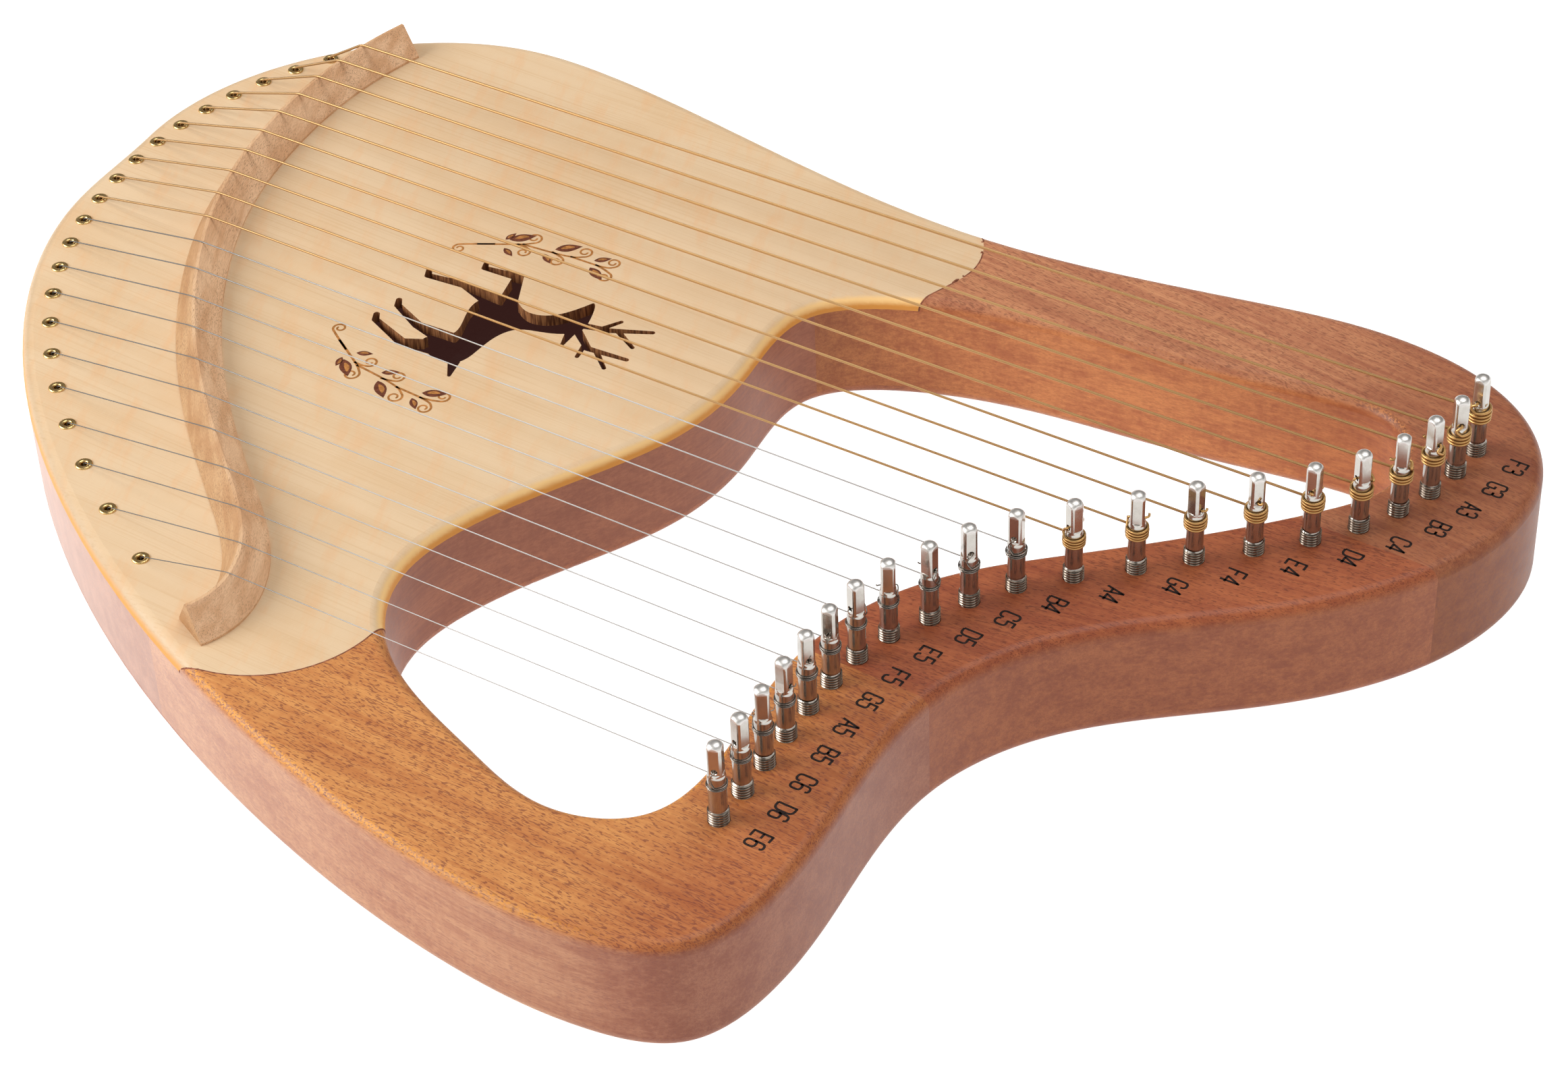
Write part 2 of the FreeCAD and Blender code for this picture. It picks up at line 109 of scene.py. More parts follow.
# ---- node materials ----
class Shader:
    """A node material under construction, with one line for each node."""

    def __init__(self, name):
        self.material = bpy.data.materials.new(name)
        self.material.use_nodes = True
        self.tree = self.material.node_tree
        self.shader = self.tree.nodes["Principled BSDF"]
        self.place = self.node("TexCoord").outputs["Object"]
        self.normal = self.node("NewGeometry").outputs["Normal"]
        self.lay(self.place)

    def node(self, kind):
        return self.tree.nodes.new("ShaderNode" + kind)

    def put(self, value, socket):
        if isinstance(value, bpy.types.NodeSocket):
            self.tree.links.new(value, socket)
        elif value is not None:
            if isinstance(value, (tuple, list)) and len(value) == 3 and socket.type == "RGBA":
                value = (*value, 1.0)
            socket.default_value = value

    def math(self, operation, a, b=None):
        node = self.node("Math")
        node.operation = operation
        self.put(a, node.inputs[0])
        self.put(b, node.inputs[1])
        return node.outputs[0]

    def plus(self, a, b):
        return self.math("ADD", a, b)

    def minus(self, a, b):
        return self.math("SUBTRACT", a, b)

    def times(self, a, b):
        return self.math("MULTIPLY", a, b)

    def vector(self, operation, a, b):
        node = self.node("VectorMath")
        node.operation = operation
        self.put(a, node.inputs[0])
        self.put(b, node.inputs[3 if operation == "SCALE" else 1])
        return node.outputs[0]

    def split(self, vector):
        node = self.node("SeparateXYZ")
        self.put(vector, node.inputs[0])
        return node.outputs

    def lay(self, source, turn=0):
        """The noise made from here on follows source, with its Y axis turned by some degrees."""
        self.source, self.turn = source, math.radians(turn)

    def noise(self, scale, detail=2.0, roughness=0.5, distortion=0.0):
        """Noise whose grains have a size in millimetres along each axis."""
        grain = self.node("Mapping")
        grain.vector_type = "TEXTURE"
        self.put(self.source, grain.inputs["Vector"])
        grain.inputs["Rotation"].default_value = (0, 0, self.turn)
        grain.inputs["Scale"].default_value = [MM * size for size in scale]
        node = self.node("TexNoise")
        self.put(grain.outputs[0], node.inputs["Vector"])
        for name, value in (("Scale", 1.0), ("Detail", detail), ("Roughness", roughness),
                            ("Distortion", distortion)):
            node.inputs[name].default_value = value
        return node.outputs["Fac"]

    def between(self, value, low, high, to_low=0.0, to_high=1.0):
        """A smooth step from to_low, where the value is low, to to_high, where it is high."""
        node = self.node("MapRange")
        node.interpolation_type = "SMOOTHSTEP"
        for name, given in (("Value", value), ("From Min", low), ("From Max", high),
                            ("To Min", to_low), ("To Max", to_high)):
            self.put(given, node.inputs[name])
        return node.outputs["Result"]

    def mix(self, share_of_b, a, b, kind="MIX"):
        node = self.node("Mix")
        node.data_type = "RGBA"
        node.blend_type = kind
        self.put(share_of_b, node.inputs["Factor"])
        self.put(a, node.inputs["A"])
        self.put(b, node.inputs["B"])
        return node.outputs["Result"]

    def bump(self, height, distance, strength):
        node = self.node("Bump")
        node.inputs["Strength"].default_value = strength
        node.inputs["Distance"].default_value = distance
        self.put(height, node.inputs["Height"])
        return node.outputs[0]

    def set(self, **values):
        """Sets the shader's own sockets; an underscore stands for a space."""
        for name, value in values.items():
            self.put(value, self.shader.inputs[name.replace("_", " ")])


def srgb(red, green, blue):
    """A colour given in 0 to 255 as the shader's linear values."""
    return tuple(((v / 255 + 0.055) / 1.055) ** 2.4 if v > 10 else v / 255 / 12.92
                 for v in (red, green, blue))


# Painted sheen: the pale reflection of the white floor, mixed into walls that face the tail.
PAINTED_SHEEN = srgb(240, 228, 220)  # what walls that face the tail are mixed with


def figured_grain(s, light, dark):
    """The colour of bands, streaks, figure and fibres, and the streaks and fibres by themselves."""
    bands = s.noise((7, 160, 7), 3.0, 0.55)
    streaks = s.noise((1.1, 34, 1.1), 3.0, 0.6)
    fibres = s.noise((0.32, 6, 0.32), 2.0, 0.6)
    figure = s.noise((5, 2.2, 5), 3.0, 0.6)
    tone = s.plus(s.plus(s.times(bands, 0.36), s.times(streaks, 0.44)), s.times(figure, 0.20))
    colour = s.mix(s.between(tone, 0.36, 0.64), dark, light)
    return s.mix(s.between(fibres, 0.35, 0.7, 0.0, 0.35), colour, dark), streaks, fibres


def open_pores(s):
    """A mask of short dashes along the grain, which crowd together in some places."""
    crowding = s.noise((16, 34, 16), 2.0)
    dashes = s.noise((0.34, 1.9, 0.34), 0.0, 0.5, 0.25)
    return s.between(s.minus(dashes, s.between(crowding, 0.3, 0.7, 0.63, 0.56)), 0.0, 0.05)


def painted_wall_light(s, colour, side, pins_side_shade, tail_side_sheen):
    """The colour of upright walls: tinted by side, partly their own colour and partly painted sheen and
    shade, with painted shade where they face the pins and painted sheen where they face the tail.
    """
    to_pins = s.split(s.normal)[1]
    wall = s.mix(1.0, colour, side, "MULTIPLY")
    wall = s.vector("SCALE", wall, s.between(to_pins, 0.2, 0.9, 1.0, pins_side_shade))
    return s.mix(s.between(to_pins, -0.7, -0.1, tail_side_sheen, 0.0), wall, PAINTED_SHEEN)


def speckled_edge(s, colour, edge):
    """Darker wood, speckled with the edge's colour, on roundings that don't face the pins."""
    _, to_pins, facing = s.split(s.normal)
    up = s.math("ABSOLUTE", facing)
    rim = s.times(s.between(up, 0.35, 0.75), s.between(up, 0.86, 0.985, 1.0, 0.0))
    rim = s.times(rim, s.between(to_pins, -0.15, 0.2, 1.0, 0.0))
    speckle = s.between(s.noise((0.6, 0.9, 0.6), 1.0), 0.46, 0.58)
    colour = s.vector("SCALE", colour, s.minus(1.0, s.times(rim, 0.24)))
    return s.mix(s.times(rim, s.times(speckle, 0.75)), colour, edge)


def mahogany(name, light, dark, pore, edge, pores, seed, turn=0, side=(1, 1, 1), pins_side_shade=1.0, tail_side_sheen=0.0,
             far_tint=(1, 1, 1), far=(130, 215)):
    """Open-pored reddish wood under satin lacquer, with its grain turned from Y by some degrees.

    Upright walls are tinted by side, partly their own colour and partly painted sheen and shade. They
    take painted shade by pins_side_shade where they face the pins, and painted sheen by tail_side_sheen
    where they face the tail. The wood takes far_tint towards the tuning pins, between the two
    places on Y of far, in millimetres.
    """
    s = Shader(name)
    base = s.vector("ADD", s.place, (seed * 0.37, seed * 0.11, seed * 0.05))
    s.lay(base, turn)
    wander = s.vector("SUBTRACT", s.noise((30, 90, 30), 1.0), (0.5, 0.5, 0.5))
    s.lay(s.vector("ADD", base, s.vector("SCALE", wander, 3.0 * MM)), turn)
    colour, streaks, fibres = figured_grain(s, light, dark)
    pins_end = s.between(s.split(s.place)[1], far[0] * MM, far[1] * MM)
    colour = s.mix(pins_end, colour, s.mix(1.0, colour, far_tint, "MULTIPLY"))
    up = s.math("ABSOLUTE", s.split(s.normal)[2])
    face = s.between(up, 0.2, 0.7)
    pore_mask = open_pores(s)
    shown = s.times(pore_mask, s.between(up, 0.2, 0.7, pores * 0.35, pores))
    colour = s.mix(shown, colour, pore)
    # Upright walls take their tint and their painted sheen and shade here.
    colour = s.mix(face, painted_wall_light(s, colour, side, pins_side_shade, tail_side_sheen), colour)
    colour = speckled_edge(s, colour, edge)
    height = s.minus(s.times(fibres, 0.25), s.times(pore_mask, face))
    s.set(Base_Color=colour, Roughness=s.between(streaks, 0.3, 0.7, 0.44, 0.54),
          Normal=s.bump(height, 0.05 * MM, 0.3), Specular_IOR_Level=0.28, Coat_Weight=0.14,
          Coat_Roughness=0.26, Coat_IOR=1.45, Sheen_Weight=0.15, Sheen_Roughness=0.35)
    return s.material


def spruce_colour(s, lines, silk, wide):
    """Cream wood with honey clouds, year lines, silky rays and a faint blush across the grain."""
    s.lay(s.place)
    clouds = s.noise((26, 34, 26), 3.0, 0.55)
    s.lay(s.place, 24)
    blush = s.noise((22, 6, 22), 3.0, 0.6)
    colour = s.mix(s.between(clouds, 0.35, 0.68, 0.0, 0.55), srgb(222, 193, 156), srgb(216, 181, 139))
    colour = s.mix(s.between(lines, 0.50, 0.72, 0.0, 0.30), colour, srgb(200, 160, 114))
    colour = s.mix(s.between(wide, 0.45, 0.7, 0.0, 0.16), colour, srgb(204, 166, 120))
    colour = s.mix(s.between(silk, 0.52, 0.72, 0.0, 0.20), colour, srgb(224, 198, 164))
    return s.mix(s.between(blush, 0.48, 0.72, 0.0, 0.32), colour, srgb(224, 170, 118))


def golden_rim(s, colour):
    """The colour where the edge is rounded: golden, with painted light where it faces the pins and painted
    shade where it faces the tail.
    """
    _, to_pins, facing = s.split(s.normal)
    # Painted light, paler and warmer, on the rounding that faces the pins and turns away from the light.
    painted_light = s.times(s.between(facing, 0.72, 0.995, 1.0, 0.0), s.between(to_pins, 0.0, 0.16))
    colour = s.mix(painted_light, colour, srgb(255, 212, 144))
    # Painted shade on the rounding that faces the tail.
    colour = s.vector("SCALE", colour, s.between(to_pins, -0.4, -0.02, 0.76, 1.0))
    return s.mix(s.between(facing, 0.24, 0.74, 0.9, 0.0), colour, srgb(222, 146, 52))


def inside_box(s, low, high):
    """A mask that is 1 within a box on X and Y, and fades over a millimetre inside its sides."""
    x, y, _ = s.split(s.place)
    across = s.times(s.between(x, low.x, low.x + MM), s.between(x, high.x - MM, high.x, 1.0, 0.0))
    along = s.times(s.between(y, low.y, low.y + MM), s.between(y, high.y - MM, high.y, 1.0, 0.0))
    return s.times(across, along)


def spruce(name, burnt_box):
    """Pale fine-grained soundboard wood, golden at its rounded edge with painted light and shade there, and
    burnt in the sound hole.
    """
    s = Shader(name)
    wander = s.noise((60, 200, 60), 1.0)
    s.lay(s.vector("ADD", s.place, s.vector("SCALE", wander, 5.0 * MM)))
    lines = s.noise((0.55, 260, 0.55), 2.0, 0.5)
    silk = s.noise((3.0, 0.8, 3.0), 3.0, 0.6)
    wide = s.noise((7, 300, 7), 2.0, 0.5)
    colour = golden_rim(s, spruce_colour(s, lines, silk, wide))
    s.lay(s.place)
    up = s.math("ABSOLUTE", s.split(s.normal)[2])
    wall = s.times(inside_box(s, *burnt_box), s.between(up, 0.2, 0.5, 1.0, 0.0))
    char = s.between(s.noise((0.7, 0.7, 8), 2.0, 0.6), 0.35, 0.65)
    colour = s.mix(wall, colour, s.mix(char, srgb(104, 62, 38), srgb(178, 122, 78)))
    s.set(Base_Color=colour, Roughness=s.between(lines, 0.3, 0.7, 0.50, 0.58),
          Normal=s.bump(s.plus(lines, s.times(silk, 0.3)), 0.03 * MM, 0.3),
          Specular_IOR_Level=0.3, Coat_Weight=0.12, Coat_Roughness=0.30)
    return s.material


def beech(name):
    """Plain beech with short dark flecks, lightly sealed, with painted shade on the slope that faces the
    tail and painted light on the one that faces the pins.
    """
    s = Shader(name)
    s.lay(s.place, -62)
    tone = s.noise((5, 60, 5), 3.0, 0.55)
    fibre = s.noise((0.35, 6, 0.35), 2.0, 0.6)
    fleck = s.noise((0.24, 1.7, 0.24), 1.0, 0.3)
    s.lay(s.place)
    spread = s.noise((12, 22, 12), 1.0)
    colour = s.mix(s.between(tone, 0.35, 0.65), srgb(200, 150, 105), srgb(220, 176, 132))
    colour = s.mix(s.between(fibre, 0.35, 0.7, 0.0, 0.35), colour, srgb(178, 130, 90))
    mask = s.times(s.between(fleck, 0.57, 0.64), s.between(spread, 0.35, 0.6, 0.35, 1.0))
    colour = s.mix(s.times(mask, 0.5), colour, srgb(132, 88, 58))
    # Painted shade on the slope that faces the tail, painted light on the one that faces the pins.
    towards_pins = s.between(s.split(s.normal)[1], -0.3, 0.3)
    slope_light_and_shade = s.mix(towards_pins, (0.76, 0.76, 0.71), (1.33, 1.45, 1.66))
    colour = s.mix(1.0, colour, slope_light_and_shade, "MULTIPLY")
    s.set(Base_Color=colour, Roughness=s.between(fibre, 0.3, 0.7, 0.55, 0.65),
          Normal=s.bump(s.minus(fibre, mask), 0.04 * MM, 0.4),
          Specular_IOR_Level=0.35, Coat_Weight=0.15, Coat_Roughness=0.4)
    return s.material


def metal(name, colour, dark, roughness, wear=0.25):
    """A plated or drawn metal with faint smudges and fine scratches."""
    s = Shader(name)
    smudge = s.noise((1.6, 1.6, 2.4), 3.0, 0.6)
    scratches = s.noise((0.4, 0.4, 6), 2.0, 0.6)
    tint = s.mix(s.between(smudge, 0.4, 0.7, 0.0, wear), colour, dark)
    rough = s.plus(roughness, s.between(smudge, 0.35, 0.75, 0.0, 0.14))
    s.set(Base_Color=tint, Metallic=1.0, Roughness=rough, Normal=s.bump(scratches, 0.008 * MM, 0.25))
    return s.material


def pin_metal(name):
    """Nickel plate: darker on the shaft, with a painted brown reflection of the wood over the thread and
    painted shade in its groove, and scuffed on the rounded end.
    """
    s = Shader(name)
    x, y, z = s.split(s.place)
    round_share = s.math("DIVIDE", s.math("ARCTAN2", y, x), 2 * math.pi)
    turns = s.minus(s.math("DIVIDE", z, THREAD_PITCH), round_share)
    groove = s.between(s.math("PINGPONG", turns, 0.5), 0.06, 0.34, 1.0, 0.0)
    thread = s.between(z, THREAD_TOP - 0.4 * MM, THREAD_TOP, 1.0, 0.0)
    shaft = s.between(z, FLAT_FROM - 0.5 * MM, FLAT_FROM + 0.8 * MM, 0.4, 0.0)
    dome = s.between(z, PIN_OUT - 2.2 * MM, PIN_OUT - 1.2 * MM)
    smudge = s.noise((1.6, 1.6, 2.4), 3.0, 0.6)
    scratches = s.noise((0.4, 0.4, 6), 2.0, 0.6)
    tint = s.mix(s.between(smudge, 0.4, 0.7, 0.0, 0.2), (0.64, 0.61, 0.56), (0.42, 0.38, 0.34))
    tint = s.mix(shaft, tint, (0.30, 0.28, 0.26))
    # Painted reflection: the wood's brown over the thread.
    tint = s.mix(s.times(thread, 0.8), tint, (0.32, 0.25, 0.19))
    # Painted shade in the thread's groove.
    tint = s.mix(s.times(thread, s.times(groove, 0.85)), tint, (0.05, 0.038, 0.03))
    tint = s.mix(s.times(dome, 0.8), tint, (0.86, 0.84, 0.81))
    rough = s.plus(s.between(smudge, 0.35, 0.75, 0.14, 0.20), s.times(dome, 0.22))
    s.set(Base_Color=tint, Metallic=0.96, Roughness=s.plus(rough, s.times(thread, 0.12)),
          Normal=s.bump(scratches, 0.008 * MM, 0.25))
    return s.material


def string_metal(name, colour, groove, roughness, depth, tail_shade=1.0, metallic=0.7):
    """Round wire whose fine windings run round it; U is the length in metres and V goes round once.

    Its colour is multiplied by tail_shade, a painted shade, where it comes down from the bridge to the
    eyelets; between the windings it takes the groove colour, a painted shade.
    """
    s = Shader(name)
    run = s.node("UVMap")
    run.uv_map = "run"
    u, v, _ = s.split(run.outputs[0])
    wave = s.math("PINGPONG", s.plus(s.math("DIVIDE", u, WINDING), v), 0.5)
    # Painted shade: the darker groove colour between the windings.
    tint = s.mix(s.between(wave, 0.0, 0.28, 1.0, 0.0), colour, groove)
    # Painted shade on the part that comes down from the bridge to the eyelets.
    shade_below_ridge = s.between(s.split(s.place)[2], RIDGE_AT, RIDGE_AT + 1.3 * MM, tail_shade, 1.0)
    s.set(Base_Color=s.vector("SCALE", tint, shade_below_ridge), Metallic=metallic, Roughness=roughness,
          Normal=s.bump(s.between(wave, 0.0, 0.5), depth, 0.8))
    return s.material


def burnt(name, colour, scale):
    """Dull dark wood in patches of a size given in millimetres: burnt or stained marks, and the painted
    shade inside the sound box.
    """
    s = Shader(name)
    patch = s.noise((scale, scale, scale), 3.0, 0.6)
    lighter = tuple(min(1.0, c * 1.7 + 0.01) for c in colour)
    s.set(Base_Color=s.mix(s.between(patch, 0.35, 0.7), colour, lighter), Roughness=0.7,
          Specular_IOR_Level=0.25, Normal=s.bump(patch, 0.02 * MM, 0.5))
    return s.material


def shaded(name, colour, glow):
    """Wood inside the sound box, painted near-black as shade, with a faint painted glow for the light that
    its walls pass on.
    """
    material = burnt(name, colour, 4.0)
    shader = material.node_tree.nodes["Principled BSDF"]
    shader.inputs["Emission Color"].default_value = (*glow, 1)
    shader.inputs["Emission Strength"].default_value = 1.0
    return material


# ---- mesh helpers ----
def link(name, data):
    thing = bpy.data.objects.new(name, data)
    bpy.context.scene.collection.objects.link(thing)
    return thing


def new_object(name, points, faces, material, uvs=None, smooth=True, sharp=None):
    mesh = bpy.data.meshes.new(name)
    mesh.from_pydata([tuple(p) for p in points], [], faces)
    if uvs is not None:
        layer = mesh.uv_layers.new(name="run")
        for loop, uv in zip(layer.data, uvs):
            loop.uv = uv
    mesh.materials.append(material)
    piece = link(name, mesh)
    if smooth:
        mesh.shade_smooth()
        if sharp is not None:
            mesh.set_sharp_from_angle(angle=math.radians(sharp))
    return piece


def headings(path):
    """The direction of a path at each of its points."""
    return [(after - before).normalized() for before, after in zip(path[:1] + path, path[1:] + path[-1:])]


def frames_along(path):
    """A side and a rise for each point of a path, carried along it without twist."""
    tangents = headings(path)
    side = tangents[0].orthogonal().normalized()
    sides = []
    for tangent in tangents:
        side = (side - tangent * side.dot(tangent)).normalized()
        sides.append((side, tangent.cross(side)))
    return sides


def around(points, count, start=0, rows=None):
    """Faces between rows of count points that go round an axis, over all the points or some rows."""
    rows = rows or len(points) // count
    return [(start + i * count + k, start + i * count + (k + 1) % count,
             start + (i + 1) * count + (k + 1) % count, start + (i + 1) * count + k)
            for i in range(rows - 1) for k in range(count)]


class Tubes:
    """Round tubes along paths, gathered in one mesh, with U along and V around."""

    def __init__(self):
        self.points, self.faces, self.uvs = [], [], []

    def add(self, path, radius, count):
        start = len(self.points)
        sides = frames_along(path)
        length = 0.0
        lengths = []
        for i, point in enumerate(path):
            if i:
                length += (point - path[i - 1]).length
            lengths.append(length)
            across, rise = sides[i]
            for k in range(count):
                a = 2 * math.pi * k / count
                self.points.append(point + across * (radius * math.cos(a)) + rise * (radius * math.sin(a)))
        self.faces += around(path, count, start, len(path))
        for u, w in zip(lengths, lengths[1:]):
            for k in range(count):
                a, b = k / count, (k + 1) / count
                self.uvs += [(u, a), (u, b), (w, b), (w, a)]
        last = start + (len(path) - 1) * count
        self.faces.append(tuple(range(start + count - 1, start - 1, -1)))
        self.faces.append(tuple(range(last, last + count)))
        self.uvs += [(0.0, 0.5)] * count + [(length, 0.5)] * count
        return self

    def ring(self, centre, radius, wire, count):
        """A closed turn of wire round an upright axis."""
        start, steps = len(self.points), 48
        for i in range(steps):
            a = 2 * math.pi * i / steps
            out = Vector((math.cos(a), math.sin(a), 0))
            for k in range(count):
                b = 2 * math.pi * k / count
                self.points.append(centre + out * (radius + wire * math.cos(b)) + UP * (wire * math.sin(b)))
        for i in range(steps):
            for k in range(count):
                n, j = (k + 1) % count, (i + 1) % steps
                self.faces.append((start + i * count + k, start + j * count + k,
                                   start + j * count + n, start + i * count + n))
                u, w = 2 * math.pi * radius * i / steps, 2 * math.pi * radius * (i + 1) / steps
                self.uvs += [(u, k / count), (w, k / count), (w, (k + 1) / count), (u, (k + 1) / count)]
        return self

    def build(self, name, material):
        return new_object(name, self.points, self.faces, material, self.uvs)


def finish(piece, stands_for=None, body="harp_body"):
    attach(piece, body)
    if stands_for:
        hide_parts(stands_for)


def bend(corner, before, after, reach, steps):
    """Points that round a corner between the places at reach from it on both sides."""
    a = corner + (before - corner).normalized() * reach
    b = corner + (after - corner).normalized() * reach
    return [a * (1 - t) ** 2 + corner * (2 * t * (1 - t)) + b * t ** 2
            for t in (k / steps for k in range(steps + 1))]


def rounded(points):
    """A run of corners, (x, y) or (x, y, radius), with a bend at each inner one with a radius."""
    out = []
    for i, (x, y, *radius) in enumerate(points):
        here = Vector((x, y))
        if not radius or i in (0, len(points) - 1):
            out.append(here)
        else:
            out += bend(here, Vector(points[i - 1][:2]), Vector(points[i + 1][:2]), radius[0], 5)
    return out


class Lines:
    """Thin flat strokes and filled shapes that lie on the wood, gathered in one closed mesh."""

    def __init__(self, lift=0.03 * MM):
        self.points, self.faces, self.lift = [], [], lift

    def slab(self, outline):
        """A thin closed plate over a convex or mildly bent outline, from bottom to top."""
        start, count = len(self.points), len(outline)
        for z in (FRONT - self.lift, FRONT + self.lift):
            self.points += [Vector((p.x, p.y, z)) for p in outline]
        self.faces.append(tuple(range(start + count - 1, start - 1, -1)))
        self.faces.append(tuple(range(start + count, start + 2 * count)))
        self.faces += around(outline, count, start, 2)

    def stroke(self, run, half, taper=lambda t: 1.0):
        """A ribbon along a run of points, with the half width at each place from a taper."""
        start, count = len(self.points), len(run)
        rows = []
        for i, (p, along) in enumerate(zip(run, headings(run))):
            side = Vector((-along.y, along.x)) * (half * taper(i / (count - 1)))
            rows.append((p + side, p - side))
        for a, b in rows:
            for z in (FRONT - self.lift, FRONT + self.lift):
                self.points += [Vector((a.x, a.y, z)), Vector((b.x, b.y, z))]
        for i in range(count - 1):
            o, n = start + 4 * i, start + 4 * (i + 1)
            self.faces += [(o + 2, o + 3, n + 3, n + 2), (o + 1, o, n, n + 1),
                           (o, o + 2, n + 2, n), (o + 3, o + 1, n + 1, n + 3)]
        last = start + 4 * (count - 1)
        self.faces += [(start, start + 1, start + 3, start + 2), (last + 1, last, last + 2, last + 3)]

    def build(self, name, material):
        return new_object(name, self.points, self.faces, material, smooth=False)


# ---- materials of this harp ----
STAG_BOX = (Vector((-62, -112, 0)) * MM, Vector((2, -20, 60)) * MM)  # round the sound hole
WINDING = 0.13 * MM  # from one fine winding to the next

# Each wood's side tint is partly its walls' own colour and partly painted sheen and shade; its two wall
# factors paint shade where walls face the pins and sheen where they face the tail.
wood_treble = mahogany(
    "treble_mahogany", srgb(216, 150, 85), srgb(184, 113, 61), srgb(112, 54, 44),
    edge=srgb(228, 150, 32), pores=0.62, seed=1, side=(0.86, 0.96, 1.7), pins_side_shade=0.96,
    tail_side_sheen=0.26, far_tint=(0.76, 0.60, 0.62), far=(84, 126))
wood_yoke = mahogany(
    "yoke_mahogany", srgb(180, 101, 60), srgb(148, 74, 45), srgb(94, 42, 28),
    edge=srgb(180, 101, 60), pores=0.5, seed=2, turn=8, side=(1.0, 1.14, 1.26))
wood_bass = mahogany(
    "bass_mahogany", srgb(208, 144, 101), srgb(171, 105, 74), srgb(108, 58, 42),
    edge=srgb(204, 132, 78), pores=0.45, seed=3, turn=-6, side=(1.06, 0.90, 0.63),
    pins_side_shade=0.75, far_tint=(0.69, 0.56, 0.50))
wood_cross = mahogany(
    "crossbar_mahogany", srgb(176, 112, 82), srgb(152, 91, 67), srgb(106, 60, 48),
    edge=srgb(178, 104, 56), pores=0.35, seed=4, turn=90)
wood_tail = mahogany(
    "tail_mahogany", srgb(192, 124, 84), srgb(162, 96, 62), srgb(104, 54, 36),
    edge=srgb(200, 126, 70), pores=0.35, seed=5, turn=50, side=(0.93, 1.14, 1.62),
    tail_side_sheen=0.26)
wood_back = mahogany(
    "back_mahogany", srgb(186, 112, 70), srgb(150, 82, 50), srgb(92, 44, 28),
    edge=srgb(190, 110, 62), pores=0.5, seed=6)
wood_spruce = spruce("soundboard_spruce", STAG_BOX)
wood_beech = beech("bridge_beech")
nickel = pin_metal("pin_nickel")
brass = metal("eyelet_brass", (0.80, 0.56, 0.24), (0.42, 0.27, 0.10), 0.24, 0.5)
# Each string's groove colour and its factor below the bridge are painted shade.
bronze = string_metal(
    "string_bronze", (0.72, 0.43, 0.18), (0.52, 0.29, 0.10), 0.36, 0.008 * MM,
    tail_shade=0.55, metallic=0.55)
bronze_turns = string_metal(
    "coiled_bronze", (0.70, 0.42, 0.16), (0.42, 0.23, 0.08), 0.30, 0.008 * MM,
    metallic=0.9)
steel = string_metal(
    "string_steel", (0.74, 0.73, 0.71), (0.64, 0.63, 0.61), 0.32, 0.004 * MM,
    tail_shade=0.16, metallic=0.45)
# Painted shade: the coils' steel is much darker than the same wire in the strings.
shaded_coil_steel = metal("coiled_steel", (0.30, 0.27, 0.24), (0.16, 0.14, 0.12), 0.2)
ink = burnt("engraved_black", srgb(26, 12, 8), 0.6)
scorch = burnt("engraved_brown", srgb(150, 98, 46), 1.5)
leaf_brown = burnt("engraved_leaf", srgb(90, 44, 24), 0.8)
glue_brown = burnt("glue_brown", srgb(122, 72, 50), 2.0)
# Painted shade inside the sound box, with a faint painted glow.
painted_shade_inside = shaded("painted_shade_inside", srgb(14, 9, 7), srgb(52, 29, 26))

WOODS = {"treble_arm": wood_treble, "yoke": wood_yoke, "bass_arm": wood_bass, "crossbar": wood_cross,
         "tail_block": wood_tail, "back_plate": wood_back, "soundboard": wood_spruce,
         # Braces inside the sound box: painted shade, near-black with a faint painted glow.
         "bass_brace": painted_shade_inside, "treble_brace": painted_shade_inside, "back_brace": painted_shade_inside,
         "bridge": wood_beech, "bridge_plate": wood_beech}


def dress_cad_wood():
    for name, material in WOODS.items():
        mesh = nodes[name].data
        mesh.materials.clear()
        mesh.materials.append(material)
    # The back plate's inner face takes painted shade.
    back = nodes["back_plate"].data
    back.materials.append(painted_shade_inside)
    for face in back.polygons:
        face.material_index = 1 if face.normal.z > 0.5 else 0


# ---- tuning pins ----
SHAFT_R = 2.6 * MM
THREAD_R = 3.1 * MM
THREAD_ROOT = 2.66 * MM
HEAD_R = 2.45 * MM  # across the corners of the squared head
FLAT = 2.05 * MM  # from the axis to a flat of the head
SHOULDER = 2.4 * MM  # height over which the shaft turns square
DOME = 1.7 * MM  # height of the rounded end
POINT = 0.8 * MM  # height of the tapered foot
EYE_AT = 19.0 * MM  # height of the cross hole above the wood
EYE_R = 0.8 * MM
PIN_TURN = 37.0  # degrees from one pin's eye to the next one's


def pin_angles():
    """Places round a pin: even over each flat, and close together over each corner of the head."""
    half = math.degrees(math.acos(FLAT / HEAD_R))
    quarter = [half * k / 4 for k in range(-4, 5)] + [half + (90 - 2 * half) * k / 5 for k in range(1, 5)]
    return [math.radians(90 * q + a) for q in range(4) for a in quarter]


